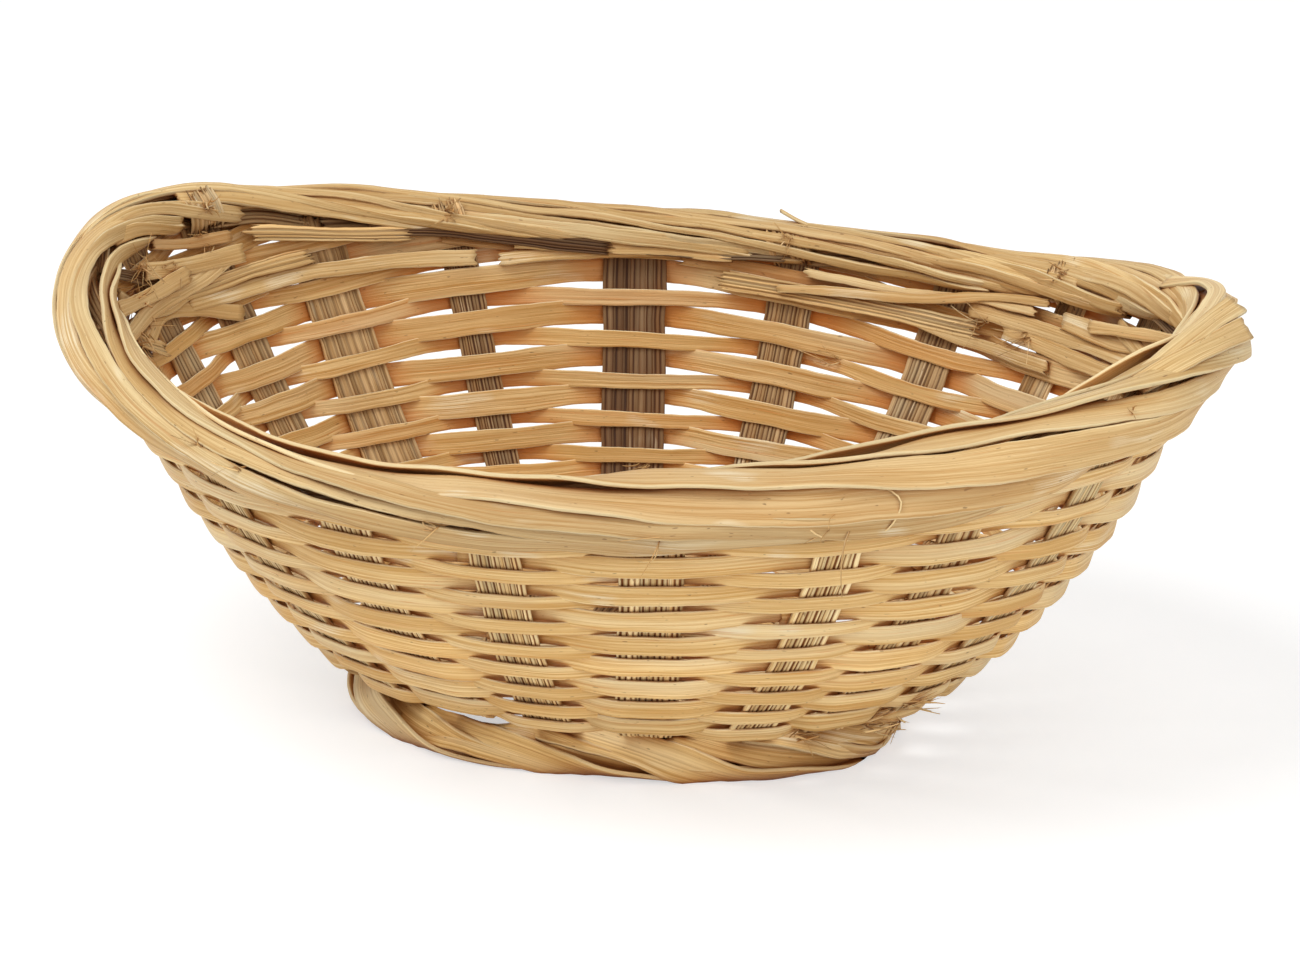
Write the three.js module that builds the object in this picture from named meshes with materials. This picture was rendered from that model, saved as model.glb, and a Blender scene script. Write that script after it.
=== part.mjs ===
// An oval bread basket plaited from split bamboo.
// Ten long stakes cross in the base and stand up as twenty uprights round the wall.
// Flat weavers go round them, one strip a row, and the rows change sides at every upright.
// A border of twenty strands closes the rim, and ten wider strands make the foot ring.
// Millimetres, +Z up, +X along the basket; the origin is under the middle of the rim, on the table.

import * as THREE from 'three';

// Border round the rim. Its height is taken to the top, on average round the basket.
const basketLength = 238.4;
const basketWidth = 164;
const basketHeight = 85.6;
const borderThickness = 13;
const borderStripWidth = 4.7;
const borderStripThickness = 0.8;

// The rim has warped in drying: the ends stand high, the left one most, and so does the far long
// side, and it sags between the ends and the sides.
const endRise = 7.4;
const leftEndRise = 0.9;
const farSideRise = 5;
const cornerSag = 1;
const diagonalTwist = -2.2;

// Base and foot. Both were woven a little off the middle of the rim.
const baseLength = 128;
const baseWidth = 82;
const baseHeight = 11.2;
const baseShift = -1;
const footShift = -3.4;
const footLength = 111;
const footWidth = 74;
const footStripWidth = 5.6;
const footStripThickness = 0.8;

// Stakes
const stakeWidth = 9.2;
const stakeThickness = 0.8;
const stakesAcross = 6;
const stakesAlong = 4;
const firstUprightAngle = 12;

// Weavers
const weaverWidth = 2.8;
const weaverThickness = 0.5;
const weaverLean = 17;
const wallRoundness = 0.28;

// Strips keep this far apart where they touch on the real basket
const touch = 0.3;
const rowGap = 0.45;
const lapGap = 0.8;

// How many strands lie side by side round the border and round the foot ring
const borderStrandsAbreast = 6;
const footStrands = 10;
const footStrandsAbreast = 4;

const radians = THREE.MathUtils.degToRad;
const up = new THREE.Vector3(0, 0, 1);

const uprights = 2 * (stakesAcross + stakesAlong);
const uprightStep = 360 / uprights;
const uprightAngle = (i) => firstUprightAngle + i * uprightStep;

// The line through the middle of the border
const rimHalfLength = (basketLength - borderThickness) / 2;
const rimHalfWidth = (basketWidth - borderThickness) / 2;
const rimMiddleHeight = basketHeight - borderThickness / 2;

function rimHeightAt(angle) {
  const a = radians(angle);
  const ends = endRise * Math.cos(2 * a) - leftEndRise * (0.4 * Math.cos(a) + 0.6 * Math.cos(3 * a));
  const sides = farSideRise * Math.sin(a) + cornerSag * Math.cos(4 * a);
  return rimMiddleHeight + ends + sides + diagonalTwist * Math.sin(2 * a);
}

function oval(angle, halfLength, halfWidth, shift, height) {
  const a = radians(angle);
  return new THREE.Vector3(halfLength * Math.cos(a) + shift, halfWidth * Math.sin(a), height);
}

function borderLine(angle) {
  return oval(angle, rimHalfLength, rimHalfWidth, 0, rimHeightAt(angle));
}

// The wall is a flared bowl between the base's edge, level 0, and the border's middle, level 1.
// It starts out flatter than a cone and ends steeper, by its roundness.
function wallPoint(angle, level) {
  const bulge = wallRoundness * level * (1 - level);
  const out = level + bulge;
  const rise = level - bulge;
  const halfLength = THREE.MathUtils.lerp(baseLength / 2, rimHalfLength, out);
  const halfWidth = THREE.MathUtils.lerp(baseWidth / 2, rimHalfWidth, out);
  const height = THREE.MathUtils.lerp(baseHeight, rimHeightAt(angle), rise);
  return oval(angle, halfLength, halfWidth, baseShift * (1 - out), height);
}

const nudge = 0.01;

function direction(from, to) {
  return new THREE.Vector3().subVectors(to, from).normalize();
}

// The way round the wall, the way up its slope and the level way out of it, at one place
function wallFrame(angle, level) {
  const round = direction(wallPoint(angle - nudge, level), wallPoint(angle + nudge, level));
  const slope = direction(wallPoint(angle, level - nudge), wallPoint(angle, level + nudge));
  const out = new THREE.Vector3().crossVectors(round, up).normalize();
  const steepness = Math.acos(THREE.MathUtils.clamp(slope.dot(out), -1, 1));
  return { round, slope, out, steepness };
}

// A flat strip with square edges. Each station has its middle, the way across and the way it faces.
function stripGeometry(stations, width, thickness, trim = (corner) => corner) {
  const corners = [];
  const sides = [[1, 1], [-1, 1], [-1, -1], [1, -1]];
  for (const { at, across, face } of stations) {
    for (const [side, skin] of sides) {
      const corner = at.clone();
      corner.addScaledVector(across, side * width / 2);
      corner.addScaledVector(face, skin * thickness / 2);
      corners.push(trim(corner, skin));
    }
  }
  const triangles = [];
  for (let s = 0; s + 1 < stations.length; s++) {
    for (let k = 0; k < 4; k++) {
      const a = 4 * s + k;
      const b = 4 * s + (k + 1) % 4;
      triangles.push([a, b, a + 4], [b, b + 4, a + 4]);
    }
  }
  const last = 4 * (stations.length - 1);
  triangles.push([0, 2, 1], [0, 3, 2]);
  triangles.push([last, last + 1, last + 2], [last, last + 2, last + 3]);
  return solidGeometry(corners, triangles);
}

// A closed solid whose faces point outwards
function solidGeometry(corners, triangles) {
  let volume = 0;
  for (const [a, b, c] of triangles) {
    volume += corners[a].dot(new THREE.Vector3().crossVectors(corners[b], corners[c]));
  }
  const ordered = volume > 0 ? triangles : triangles.map(([a, b, c]) => [a, c, b]);
  const geometry = new THREE.BufferGeometry().setFromPoints(corners);
  geometry.setIndex(ordered.flat());
  geometry.computeVertexNormals();
  return geometry;
}

function bamboo(color, roughness) {
  return new THREE.MeshStandardMaterial({ color, roughness, metalness: 0 });
}

const splitStake = bamboo('#b89a66', 0.7);
const weaverSkin = bamboo('#d9a866', 0.5);
const borderCane = bamboo('#dfc284', 0.55);
const footCane = bamboo('#d8b878', 0.55);

const basket = new THREE.Group();

function addPiece(name, geometry, material) {
  const mesh = new THREE.Mesh(geometry, material);
  mesh.name = name;
  basket.add(mesh);
}

const twoDigits = (n) => String(n).padStart(2, '0');

// Stakes. Each runs down one wall, straight across the base and up the other wall.
// In the base they pass over and under each other, and their tops stand inside the border.
const wallStations = 8;
const plaitLift = (stakeThickness + touch) / 2;
const plaitHold = stakeWidth / 2 + touch;
const borderHollow = borderThickness / 2 - borderStripThickness;

function stakeEnds(i) {
  const across = i < stakesAcross;
  const start = across ? i + stakesAlong / 2 : i - stakesAcross - stakesAlong / 2;
  const opposite = (across ? uprights : uprights / 2) - 1 - start;
  return [uprightAngle(start), uprightAngle(opposite)];
}

function baseLine(i) {
  const [start, end] = stakeEnds(i);
  return { from: wallPoint(start, 0), to: wallPoint(end, 0) };
}

function crossingAlong(line, other) {
  const d = new THREE.Vector3().subVectors(line.to, line.from);
  const e = new THREE.Vector3().subVectors(other.to, other.from);
  const gap = new THREE.Vector3().subVectors(other.from, line.from);
  return (gap.x * e.y - gap.y * e.x) / (d.x * e.y - d.y * e.x);
}

function baseStations(i) {
  const line = baseLine(i);
  const length = line.from.distanceTo(line.to);
  const along = direction(line.from, line.to);
  const across = new THREE.Vector3().crossVectors(up, along).normalize();
  const isAcross = i < stakesAcross;
  const others = isAcross ? [stakesAcross, uprights / 2] : [0, stakesAcross];
  const crossings = [];
  for (let j = others[0]; j < others[1]; j++) {
    const lift = ((i + j) % 2 === 0 ? 1 : -1) * (isAcross ? 1 : -1) * plaitLift;
    crossings.push({ distance: crossingAlong(line, baseLine(j)) * length, lift });
  }
  crossings.sort((a, b) => a.distance - b.distance);
  const stations = [];
  for (const { distance, lift } of crossings) {
    for (const side of [-1, 1]) {
      const at = line.from.clone().addScaledVector(along, distance + side * plaitHold);
      at.z += lift;
      stations.push({ at, across: across.clone(), face: up.clone() });
    }
  }
  return stations;
}

// One upright, from the base's edge to its end inside the border
function uprightStations(angle, turn) {
  const stations = [];
  for (let s = 0; s <= wallStations; s++) {
    const level = s / wallStations;
    const { round, slope, out } = wallFrame(angle, Math.max(level, nudge));
    const face = new THREE.Vector3().crossVectors(round, slope).normalize();
    if (face.dot(out) > 0) face.negate();
    if (s === 0) face.lerp(up, 0.5).normalize();
    stations.push({ at: wallPoint(angle, level), across: round.clone().multiplyScalar(turn), face });
  }
  const top = stations[wallStations];
  const slope = wallFrame(angle, 1).slope;
  const reach = borderHollow - 2 * touch - stakeThickness / 2;
  stations.push({ ...top, at: top.at.clone().addScaledVector(slope, reach) });
  return stations;
}

function addStake(i, name) {
  const [start, end] = stakeEnds(i);
  const middle = baseStations(i);
  const turnAt = (angle, station) => Math.sign(wallFrame(angle, nudge).round.dot(station.across));
  const down = uprightStations(start, turnAt(start, middle[0])).reverse();
  const rise = uprightStations(end, turnAt(end, middle[middle.length - 1]));
  addPiece(name, stripGeometry([...down, ...middle, ...rise], stakeWidth, stakeThickness), splitStake);
}

for (let i = 0; i < stakesAcross; i++) addStake(i, `stake_across_${i + 1}`);
for (let i = 0; i < stakesAlong; i++) addStake(stakesAcross + i, `stake_along_${i + 1}`);

// Weavers. The rows are packed as close as the near long side, the lowest part of the wall, lets them.
const nearSide = 270;
const borderCorner = Math.hypot(borderThickness / 2, borderStripWidth / 2);
const lowestRowHeight = weaverWidth + stakeThickness / 2 + touch;
const uprightHold = 0.35;

// The height that a row takes up at one level, for the strip's own lean
function rowStep(level) {
  const lower = wallPoint(nearSide, level - nudge);
  const upper = wallPoint(nearSide, level + nudge);
  const risePerLevel = (upper.z - lower.z) / (2 * nudge);
  const lean = wallFrame(nearSide, level).steepness + radians(weaverLean);
  return (weaverWidth + rowGap) * Math.sin(lean) / risePerLevel;
}

function rowLevels() {
  const slopeLength = wallPoint(nearSide, 0.9).distanceTo(wallPoint(nearSide, 1)) / 0.1;
  const levels = [];
  let level = 1 - (borderCorner + touch + weaverWidth / 2) / slopeLength;
  while (wallPoint(nearSide, level).z - baseHeight > lowestRowHeight / 2 + touch) {
    levels.unshift(level);
    level -= rowStep(level);
  }
  return levels;
}

// A strip's place where it passes an upright: side is 1 outside it and -1 inside it
function weaverAt(angle, level, side, along) {
  const { round, out, steepness } = wallFrame(angle, level);
  const lean = Math.min(steepness + radians(weaverLean), Math.PI / 2);
  const clear = (stakeThickness + weaverThickness) / 2 + touch;
  const offset = side * (clear + weaverWidth / 2 * Math.sin(lean - steepness)) / Math.sin(steepness);
  const at = wallPoint(angle, level).addScaledVector(out, offset).addScaledVector(round, along);
  const across = out.clone().multiplyScalar(Math.cos(lean)).addScaledVector(up, Math.sin(lean));
  const face = new THREE.Vector3().crossVectors(round, across).normalize();
  return { at, across, face };
}

function spacingAt(angle, level) {
  const half = uprightStep / 2;
  return wallPoint(angle - half, level).distanceTo(wallPoint(angle + half, level));
}

function weaverStations(row, rows, level) {
  const first = rows + 3 * row;
  const stations = [];
  for (let k = 0; k <= uprights; k++) {
    const i = first + k;
    const angle = uprightAngle(i);
    const side = (i + rows - 1 - row) % 2 === 0 ? 1 : -1;
    const hold = uprightHold * spacingAt(angle, level);
    const spots = k === 0 ? [lapGap / 2, hold] : k === uprights ? [-hold, -lapGap / 2] : [-hold, hold];
    for (const along of spots) stations.push(weaverAt(angle, level, side, along));
    if (k < uprights) {
      const between = weaverAt(angle + uprightStep / 2, level, 0, 0);
      stations.push(between);
    }
  }
  return stations;
}

const levels = rowLevels();
levels.forEach((level, row) => {
  const stations = weaverStations(row, levels.length, level);
  const geometry = stripGeometry(stations, weaverWidth, weaverThickness);
  addPiece(`weaver_row_${twoDigits(row + 1)}`, geometry, weaverSkin);
});

// Strands laid like rope round a hollow: turn 0 faces out of the basket and 90 faces up
function strandStation(line, angle, turn, radius) {
  const middle = line(angle);
  const round = direction(line(angle - nudge), line(angle + nudge));
  const out = new THREE.Vector3().crossVectors(round, up).normalize();
  const a = radians(turn);
  const face = out.clone().multiplyScalar(Math.cos(a)).addScaledVector(up, Math.sin(a));
  const across = out.clone().multiplyScalar(-Math.sin(a)).addScaledVector(up, Math.cos(a));
  return { at: middle.addScaledVector(face, radius), across, face };
}

// Border. The strands leave a slot at the bottom, on the inside, where the stakes come up.
const slotOpening = 76;
const strandStepsPerUpright = 2;

function slotTurn(angle) {
  return 180 + THREE.MathUtils.radToDeg(wallFrame(angle, 1).steepness);
}

function borderStations(i) {
  const steps = borderStrandsAbreast * strandStepsPerUpright;
  const radius = (borderThickness - borderStripThickness) / 2;
  const stations = [];
  for (let s = 0; s <= steps; s++) {
    const angle = uprightAngle(i) - s * uprightStep / strandStepsPerUpright;
    const turn = slotTurn(angle) - 360 + slotOpening / 2 + s * (360 - slotOpening) / steps;
    stations.push(strandStation(borderLine, angle, turn, radius));
  }
  return stations;
}

for (let i = 0; i < uprights; i++) {
  const geometry = stripGeometry(borderStations(i), borderStripWidth, borderStripThickness);
  addPiece(`border_strand_${twoDigits(i + 1)}`, geometry, borderCane);
}

// Foot ring. It fills the height under the base, and its strands are flat where they meet the table.
const footClearHeight = baseHeight - plaitLift - stakeThickness / 2 - touch;
const footOuterRadius = (footClearHeight ** 2 - footStripWidth ** 2 / 4) / (2 * footClearHeight);
const footRadius = footOuterRadius - footStripThickness / 2;
const footSkin = footStripThickness / 2;
const strandStepsPerFootStrand = 3;
const footEndStep = 0.7;

function footLine(angle) {
  const halfLength = footLength / 2 - footOuterRadius;
  const halfWidth = footWidth / 2 - footOuterRadius;
  return oval(angle, halfLength, halfWidth, footShift, footOuterRadius);
}

function footStations(i) {
  const steps = footStrandsAbreast * strandStepsPerFootStrand;
  const stepAngle = 360 / footStrands / strandStepsPerFootStrand;
  const stations = [];
  for (let s = 0; s <= steps; s++) {
    const place = s < steps ? s : steps - 1 + footEndStep;
    const angle = (i * 360) / footStrands + place * stepAngle;
    const turn = 90 - (place * 360) / steps;
    stations.push(strandStation(footLine, angle, turn, footRadius));
  }
  return stations;
}

function trimToTable(corner, skin) {
  corner.z = Math.max(corner.z, skin > 0 ? 0 : footSkin);
  return corner;
}

for (let i = 0; i < footStrands; i++) {
  const geometry = stripGeometry(footStations(i), footStripWidth, footStripThickness, trimToTable);
  addPiece(`foot_strand_${twoDigits(i + 1)}`, geometry, footCane);
}

export default basket;
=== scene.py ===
# %% [markdown]
# # An oval bread basket of split bamboo
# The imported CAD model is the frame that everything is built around. It says where each stake,
# weaver, border strand and foot strand is. Its strips are plain bars with square edges, so this
# script makes each one again as the bamboo that it is, in the same place.

# %% Load the frame
import math

import bpy
import numpy as np
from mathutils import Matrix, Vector


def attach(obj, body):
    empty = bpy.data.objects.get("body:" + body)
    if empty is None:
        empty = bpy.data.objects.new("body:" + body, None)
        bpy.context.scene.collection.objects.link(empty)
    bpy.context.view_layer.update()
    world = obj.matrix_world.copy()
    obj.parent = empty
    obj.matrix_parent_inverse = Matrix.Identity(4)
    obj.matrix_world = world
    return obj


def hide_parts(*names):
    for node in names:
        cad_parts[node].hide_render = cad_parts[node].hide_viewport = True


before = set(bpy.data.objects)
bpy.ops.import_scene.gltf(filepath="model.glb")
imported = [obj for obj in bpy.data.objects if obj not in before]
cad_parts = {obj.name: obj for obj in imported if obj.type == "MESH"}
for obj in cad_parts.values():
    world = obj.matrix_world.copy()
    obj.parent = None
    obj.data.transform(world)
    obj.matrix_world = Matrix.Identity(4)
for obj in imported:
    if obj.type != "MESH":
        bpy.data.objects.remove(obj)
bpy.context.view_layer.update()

# %% [markdown]
# ## Camera
# The photograph looks down into the basket from a little to the right of its long side. A long
# lens keeps the oval from looking stretched. The place and the lens come from fitting a camera
# to points on the rim and the foot. The shift is the small part of the framing that isn't aim.

# %% Camera
camera_place = Vector((0.2232, -0.7849, 0.3261))
camera_aim = Vector((0.00367, 0, 0.04894))
lens_mm = 119.9
framing_shift = (-0.0061, -0.0037)


def aimed(name, data, place, target):
    """A camera or a lamp at a place, turned to look at a target."""
    made_object = bpy.data.objects.new(name, data)
    made_object.location = place
    made_object.rotation_euler = (target - place).to_track_quat("-Z", "Y").to_euler()
    bpy.context.collection.objects.link(made_object)
    return made_object


camera_data = bpy.data.cameras.new("camera")
camera_data.lens = lens_mm
camera_data.sensor_width = 36
camera_data.shift_x, camera_data.shift_y = framing_shift
bpy.context.scene.camera = aimed("camera", camera_data, camera_place, camera_aim)
bpy.context.scene.view_settings.view_transform = "Standard"
print("camera at", tuple(round(v, 3) for v in camera_place), "lens", lens_mm, "mm")

# %% [markdown]
# ## The basket's own shape
# All the strips lie on three things: the wall, the line through the border and the line through
# the foot ring. These are the sizes and formulas of the CAD source, in millimetres, written for
# whole arrays of angles so that a strip is worked out in one go.

# %% Sizes of the basket
rim_half_length, rim_half_width, rim_middle_height = 112.7, 75.5, 79.1
end_rise, left_end_rise, far_side_rise, corner_sag, diagonal_twist = 7.4, 0.9, 5, 1, -2.2
base_half_length, base_half_width, base_height, base_shift = 64, 41, 11.2, -1
foot_shift, foot_half_length, foot_half_width = -3.4, 55.5, 37
wall_roundness = 0.28
wall_tuck = 2.0
upright_count = 20
upright_step = 360 / upright_count
first_upright_angle = 12
print(upright_count, "uprights,", upright_step, "degrees apart")


# %% Wall and border line
def lerp(a, b, t):
    return a + (b - a) * t


def unit(v):
    return v / np.linalg.norm(v, axis=-1, keepdims=True)


def stack(x, y, z):
    return np.stack(np.broadcast_arrays(x, y, z), axis=-1).astype(float)


def rim_height(angle):
    a = np.radians(angle)
    ends = end_rise * np.cos(2 * a) - left_end_rise * (0.4 * np.cos(a) + 0.6 * np.cos(3 * a))
    sides = far_side_rise * np.sin(a) + corner_sag * np.cos(4 * a)
    return rim_middle_height + ends + sides + diagonal_twist * np.sin(2 * a)


def oval(angle, half_length, half_width, shift, height):
    a = np.radians(angle)
    return stack(half_length * np.cos(a) + shift, half_width * np.sin(a), height)


def wall_point(angle, level):
    bulge = wall_roundness * level * (1 - level)
    out, rise = level + bulge, level - bulge
    tuck = wall_tuck * (1 - level) * (1 + 3 * level) * (1 - 0.64 * level * np.cos(np.radians(angle)))
    half_length = lerp(base_half_length, rim_half_length, out) - tuck
    half_width = lerp(base_half_width, rim_half_width, out) - tuck / 2
    height = lerp(base_height, rim_height(angle), rise)
    return oval(angle, half_length, half_width, base_shift * (1 - out), height)


up = np.array([0.0, 0.0, 1.0])


def round_and_out(point_at, angle):
    """The way round and the level way out of the basket at points of a line."""
    way_round = unit(point_at(angle + 0.01) - point_at(angle - 0.01))
    return way_round, unit(np.cross(way_round, up))


def wall_frame(angle, level):
    angle, level = np.broadcast_arrays(np.asarray(angle, float), np.asarray(level, float))
    way_round, out = round_and_out(lambda a: wall_point(a, level), angle)
    slope = unit(wall_point(angle, level + 0.01) - wall_point(angle, level - 0.01))
    steepness = np.arccos(np.clip((slope * out).sum(-1), -1, 1))
    return way_round, slope, out, steepness


def facing_in(way_round, slope, out):
    """The way that the inside of the wall faces."""
    face = unit(np.cross(slope, way_round))
    return face * np.where((face * out).sum(-1) > 0, -1, 1)[:, None]


def border_line(angle):
    return oval(angle, rim_half_length, rim_half_width, 0, rim_height(angle))


print("rim stands", [round(float(rim_height(a)), 1) for a in (0, 90, 180, 270)], "mm high at the four sides")

# %% [markdown]
# ## A strip of split bamboo
# Every part of the basket is the same thing in other sizes: a flat strip split from a cane. It
# could be a curve with a bevel, but a bevel can't hold ribs, uneven edges or a cut end. So one
# function lays a strip as rows of points across a path, closes it round both faces and caps the
# ends. The materials get three sets of values at each point. `grain` is its place across and along
# the strip in millimetres, `marks` tells a groove, a cut edge and the front face, and `shade` how
# much lighter and how much warmer than usual the strip is there.

# %% Even unevenness
chance = np.random.default_rng(20)


def wander(places, wave, size):
    """Smooth uneven values at places along a strip, in mm, with waves of about that length."""
    total = 0
    for share, part in ((1, 0.5), (0.61, 0.3), (0.34, 0.2)):
        total = total + part * np.sin(2 * np.pi * (np.asarray(places) / (wave * share) + chance.random()))
    return size * 1.5 * total


def along_path(at):
    """Distance along a path of points, in mm."""
    steps = np.linalg.norm(np.diff(at, axis=0), axis=1)
    return np.concatenate([[0], np.cumsum(steps)])


def resample(at, spacing, *others):
    """A smooth path through at, with points about spacing mm apart, and the other values there."""
    distance = along_path(at)
    count = max(4, int(round(distance[-1] / spacing)) + 1)
    wanted = np.linspace(0, distance[-1], count)
    columns = [np.atleast_2d(np.asarray(o, float).T).T for o in (at,) + others]
    result = []
    for values in columns:
        slopes = np.gradient(values, distance, axis=0)
        k = np.clip(np.searchsorted(distance, wanted, side="right") - 1, 0, len(distance) - 2)
        h = (distance[k + 1] - distance[k])[:, None]
        t = ((wanted - distance[k])[:, None]) / h
        p0, p1, m0, m1 = values[k], values[k + 1], slopes[k] * h, slopes[k + 1] * h
        smooth = ((2 * t**3 - 3 * t**2 + 1) * p0 + (t**3 - 2 * t**2 + t) * m0
                  + (-2 * t**3 + 3 * t**2) * p1 + (t**3 - t**2) * m1)
        result.append(smooth if smooth.shape[1] > 1 else smooth[:, 0])
    return result


print("the rim is", round(along_path(border_line(np.arange(361.0)))[-1]), "mm round")


# %% The strip itself
def flat_section():
    """A plain strip with square cut edges: places across it from -1 to 1, how full it is there, its
    grooves, its cut edges and its tones."""
    across = np.array([-1, -0.94, -0.7, -0.36, 0, 0.36, 0.7, 0.94, 1])
    fullness = np.where(np.abs(across) == 1, 0.6, 1)
    return across, fullness, np.zeros(9), np.where(np.abs(across) > 0.9, np.abs(across), 0), np.zeros(9)


edge_wave = 25


def strip(at, face, width, thickness, section=None, crown=0, ragged=0, tone=0, warmth=0, splinter=0.5):
    """One strip: its points, its faces, and its values for the materials. crown is how far the middle
    of its section rises, ragged how uneven its edges are and splinter its ends, all in mm."""
    across_places, fullness, grooves, edges, tones = section or flat_section()
    tangent = unit(np.gradient(at, axis=0))
    across = unit(np.cross(face, tangent))
    face = unit(np.cross(tangent, across))
    distance = along_path(at)
    one_or_many = (width, thickness, tone, warmth)
    width, thickness, tone, warmth = (np.broadcast_to(v, distance.shape) for v in one_or_many)
    sides = [width / 2 + wander(distance, edge_wave, ragged) + wander(distance, edge_wave / 6, ragged / 4)
             for _ in (0, 1)]
    c = across_places[None, :]
    reach = np.where(c > 0, sides[0][:, None], sides[1][:, None]) * c
    curve = crown * (1 - c**2) * np.ones_like(reach)
    count, columns = reach.shape
    middle = at[:, None] + across[:, None] * reach[..., None]
    # The cut ends are split by different amounts across the strip
    middle[0] -= tangent[0] * chance.normal(0, splinter, columns)[:, None]
    middle[-1] += tangent[-1] * chance.normal(0, splinter, columns)[:, None]
    layers = []
    for skin in (1, -1):
        height = curve + skin * thickness[:, None] / 2 * fullness[None, :]
        layers.append(middle + face[:, None] * height[..., None])
    ring = np.concatenate([layers[0], layers[1][:, ::-1]], axis=1)
    loop = 2 * columns
    # Each strip is cut from its own part of the grain, which runs on round the edge to the back
    seed = chance.random() * 900
    mean_width = float(width.mean())
    lane = (c[0] + 1) / 2 * mean_width
    lane = np.concatenate([lane, mean_width * 2 - lane[::-1] + 0.8])
    grain = stack(lane[None, :], (distance + chance.random() * 400)[:, None], seed)
    groove, edge, shade = (np.concatenate([v, v[::-1]]) for v in (grooves, edges, tones))
    side = np.concatenate([np.ones(columns), np.zeros(columns)])
    marks = stack(groove[None, :] * np.ones((count, 1)), edge[None, :], side[None, :])
    shade = stack(shade[None, :] + tone[:, None], warmth[:, None], 0)
    i = np.arange(count - 1)[:, None] * loop
    j = np.arange(loop)[None, :]
    k = (j + 1) % loop
    walls = np.stack([i + j, i + k, i + loop + k, i + loop + j], axis=-1).reshape(-1, 4)
    j = np.arange(columns - 1)
    near = np.stack([j, loop - 1 - j, loop - 2 - j, j + 1], axis=-1)
    far = near[:, ::-1] + (count - 1) * loop
    rows = {"points": ring, "grain": grain, "marks": marks, "shade": shade}
    return {"faces": np.concatenate([walls, near, far]), **{k: v.reshape(-1, 3) for k, v in rows.items()}}


print("a plain strip has", len(flat_section()[0]), "points across each face")


# %% Pieces from strips
made = []


def piece(name, strips, material, replaced=()):
    """Joins strips into one object that rides on the basket and stands for its CAD nodes."""
    offsets = np.cumsum([0] + [len(s["points"]) for s in strips])
    points = np.concatenate([s["points"] for s in strips]) / 1000
    faces = np.concatenate([s["faces"] + offset for s, offset in zip(strips, offsets)])
    mesh = bpy.data.meshes.new(name)
    mesh.from_pydata(points.tolist(), [], faces.tolist())
    for label in ("grain", "marks", "shade"):
        values = np.concatenate([s[label] for s in strips]).astype(np.float32).ravel()
        mesh.attributes.new(label, "FLOAT_VECTOR", "POINT").data.foreach_set("vector", values)
    mesh.polygons.foreach_set("use_smooth", [True] * len(mesh.polygons))
    mesh.materials.append(material)
    mesh.validate()
    made_object = bpy.data.objects.new(name, mesh)
    bpy.context.collection.objects.link(made_object)
    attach(made_object, "root")
    if replaced:
        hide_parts(*replaced)
    made.append(made_object)
    print("piece", name, "with", len(faces), "faces")


# %% [markdown]
# ## Materials
# Bamboo is a bundle of straight fibres in a soft, pale ground. Split and dried it is straw
# yellow with fine lines along it, and a slight shine where the outer skin is left on. All four
# finishes are that one material with other colours, so one function makes them. A texture in the
# object's space would cut straight through the bends. This one is drawn in the strip's own
# crosswise and lengthwise millimetres, so the fibres follow every bend.

# %% Colours and nodes
def linear(hex_colour):
    """sRGB hex to the linear colour that the shader takes."""
    parts = [int(hex_colour[i:i + 2], 16) / 255 for i in (1, 3, 5)]
    return tuple(v / 12.92 if v <= 0.04045 else ((v + 0.055) / 1.055) ** 2.4 for v in parts) + (1,)


def add(tree, kind, inputs=(), stops=None, **settings):
    """Adds a node and returns its outputs. inputs are links, hex colours or numbers, by socket or in
    order. settings are the node's own values, and stops those of a colour ramp, {place: hex or grey}."""
    node = tree.nodes.new("ShaderNode" + kind)
    for key, value in settings.items():
        setattr(node, key, value)
    for key, value in inputs.items() if isinstance(inputs, dict) else enumerate(inputs):
        if hasattr(value, "is_output"):
            tree.links.new(value, node.inputs[key])
        else:
            node.inputs[key].default_value = linear(value) if isinstance(value, str) else value
    if stops:
        elements = node.color_ramp.elements
        elements.remove(elements[0])
        for n, (place, value) in enumerate(sorted(stops.items())):
            element = elements.new(place) if n else elements[0]
            element.position = place
            element.color = linear(value) if isinstance(value, str) else (value, value, value, 1)
    return node.outputs


# What makes a Math node multiply, add or subtract
times, plus, minus = ({"operation": operation} for operation in ("MULTIPLY", "ADD", "SUBTRACT"))
print("mid grey #808080 is", round(linear("#808080")[0], 3), "in linear light")


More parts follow.
